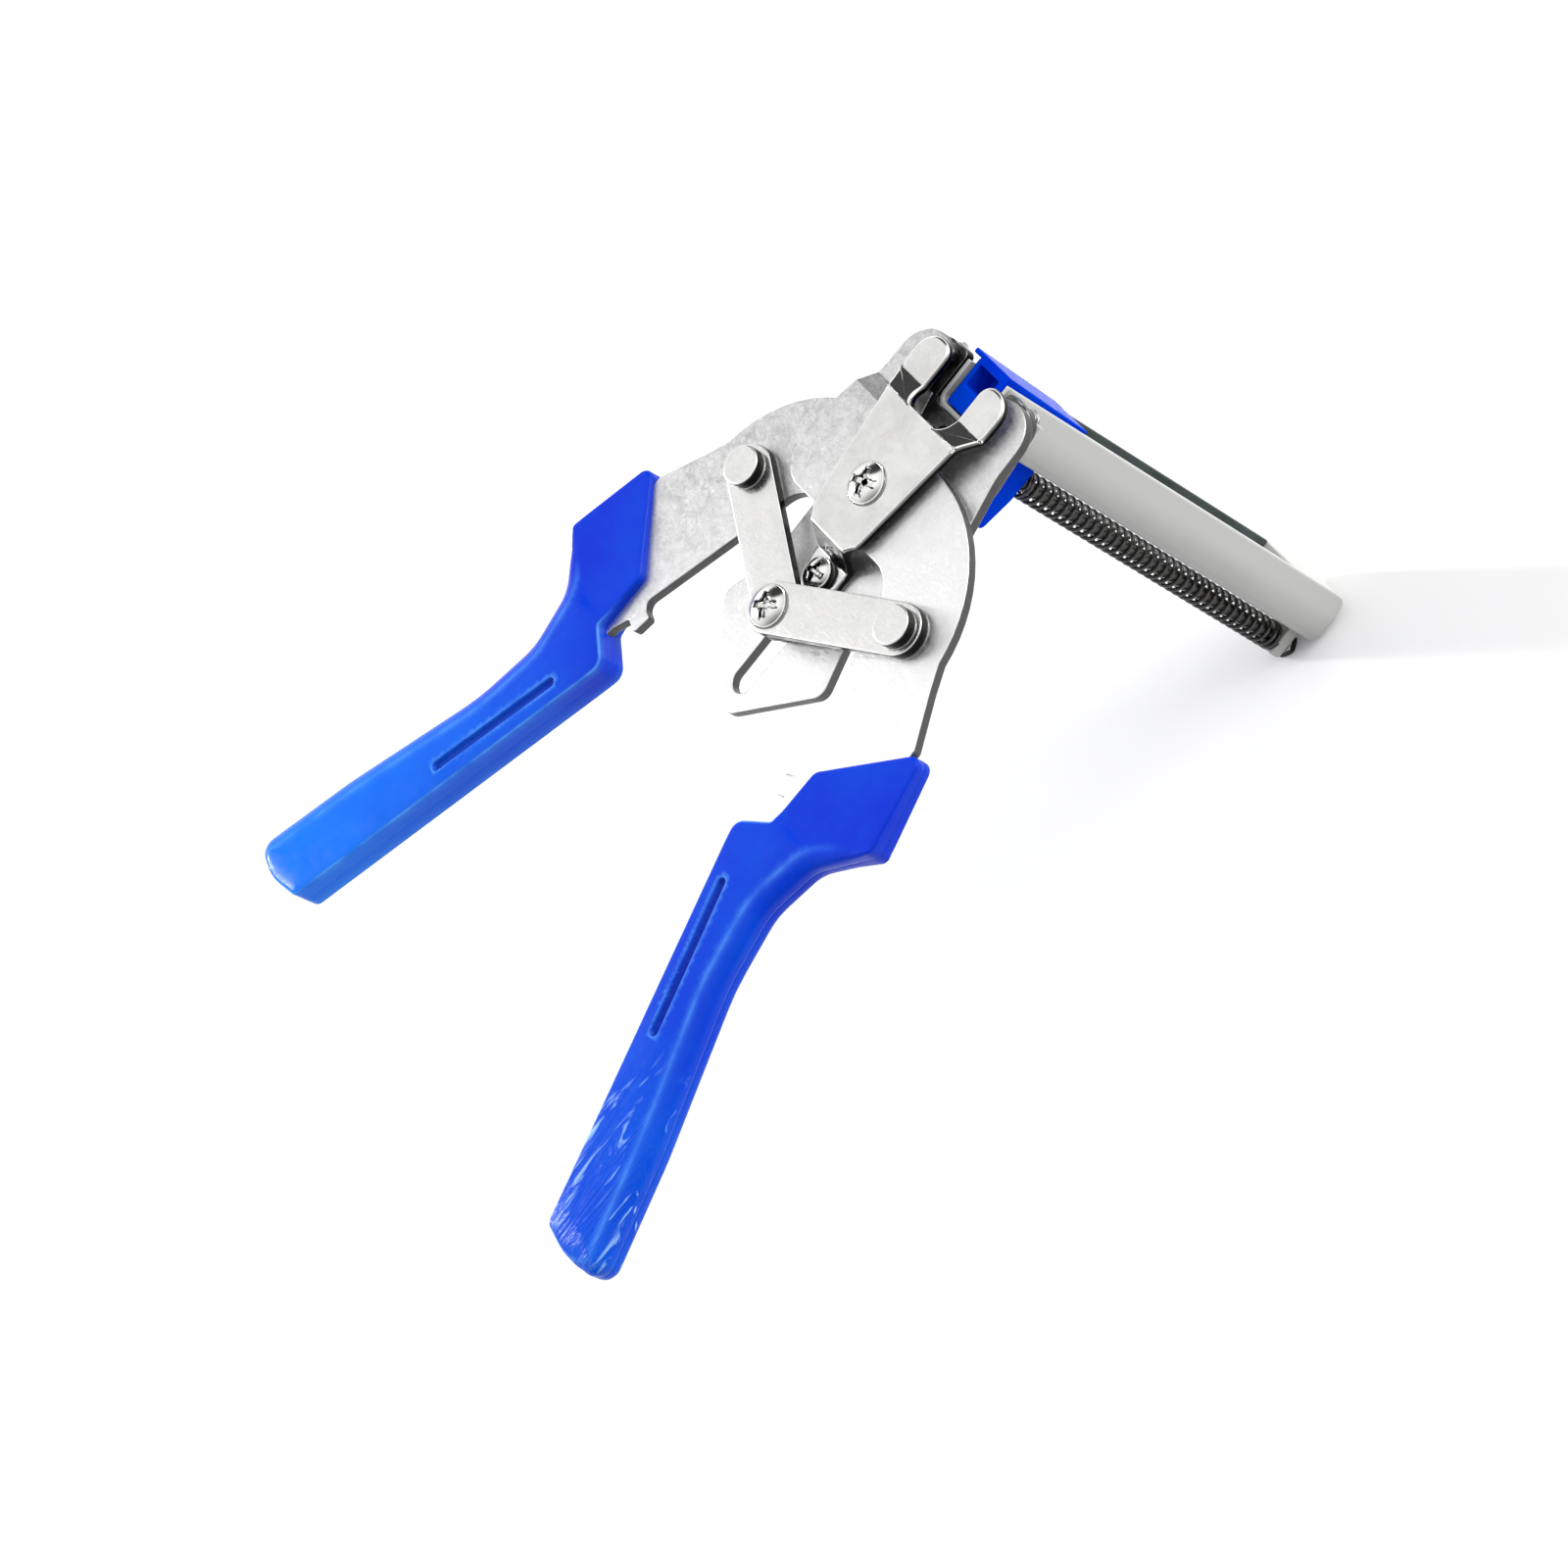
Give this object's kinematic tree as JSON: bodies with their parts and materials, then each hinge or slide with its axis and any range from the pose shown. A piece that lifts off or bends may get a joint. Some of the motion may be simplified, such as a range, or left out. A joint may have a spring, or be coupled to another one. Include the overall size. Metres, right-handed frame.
{
  "type": "hog ring pliers",
  "caption": "Magazine-fed hog ring pliers with blue grips: crossed handles on one pivot, links to a slot pin, and a sprung follower in a trough behind the head.",
  "frame": {"origin": "middle of the jaw mouth, on the joint face between the two crossed handle plates", "axes": "+X towards the right handle, +Y out through the jaws, +Z along the main pivot towards the front cover; the magazine runs down -Z"},
  "size_m": [0.141, 0.177, 0.1356],
  "materials": {
    "blue_plastic": "glossy moulded royal blue",
    "zinc_plate": "zinc-plated pressed steel, matte and slightly mottled",
    "bright_nickel": "bright nickel plate with brushed areas",
    "grey_paint": "satin light grey paint",
    "dark_rail": "dark green-grey, matte",
    "spring_steel": "oiled dark spring steel"
  },
  "bodies": {
    "frame": {"front_cover": "bright_nickel", "rear_plate": "zinc_plate", "pivot_screw": "bright_nickel", "pivot_washer": "bright_nickel", "pivot_nut": "bright_nickel", "tab_screw": "bright_nickel", "tab_nut": "bright_nickel", "magazine_trough": "grey_paint", "magazine_rivets": "bright_nickel", "nail_rail": "dark_rail", "end_block": "grey_paint", "end_block_pin": "bright_nickel", "guide_rod": "spring_steel", "rod_nut": "bright_nickel", "feed_spring": "spring_steel"},
    "right_handle": {"handle_plate_right": "zinc_plate", "grip_right": "blue_plastic", "link_rivet_right": "bright_nickel"},
    "left_handle": {"handle_plate_left": "zinc_plate", "grip_left": "blue_plastic", "link_rivet_left": "bright_nickel"},
    "right_link": {"link_right": "bright_nickel", "slot_screw": "bright_nickel", "slot_spacer": "bright_nickel", "slot_washer": "bright_nickel", "slot_nut": "bright_nickel"},
    "left_link": {"link_left": "bright_nickel"},
    "follower": {"follower": "blue_plastic"}
  },
  "joints": [
    {"name": "right_handle_pivot", "type": "hinge", "parent": "frame", "child": "right_handle", "pos_m": [0, -0.027, 0], "axis": [0, 0, -1], "range_deg": [0, 15]},
    {"name": "left_handle_pivot", "type": "hinge", "parent": "frame", "child": "left_handle", "pos_m": [0, -0.027, 0], "axis": [0, 0, 1], "range_deg": [0, 15]},
    {"name": "right_link_pivot", "type": "hinge", "parent": "right_handle", "child": "right_link", "pos_m": [0.02907, -0.0422, 0], "axis": [0, 0, 1], "range_deg": [0, 30]},
    {"name": "left_link_pivot", "type": "hinge", "parent": "left_handle", "child": "left_link", "pos_m": [-0.02907, -0.0422, 0], "axis": [0, 0, -1], "range_deg": [0, 30]},
    {"name": "follower_slide", "type": "slide", "parent": "frame", "child": "follower", "axis": [0, 0, -1], "range_m": [0, 0.055], "stiffness_N_per_m": 60, "springref_m": -0.02, "deforming": ["feed_spring"]}
  ],
  "couplings": [
    {"joint": "left_handle_pivot", "follows": "right_handle_pivot", "ratio": 1},
    {"joint": "right_link_pivot", "follows": "right_handle_pivot", "ratio": 2},
    {"joint": "left_link_pivot", "follows": "right_handle_pivot", "ratio": 2}
  ]
}
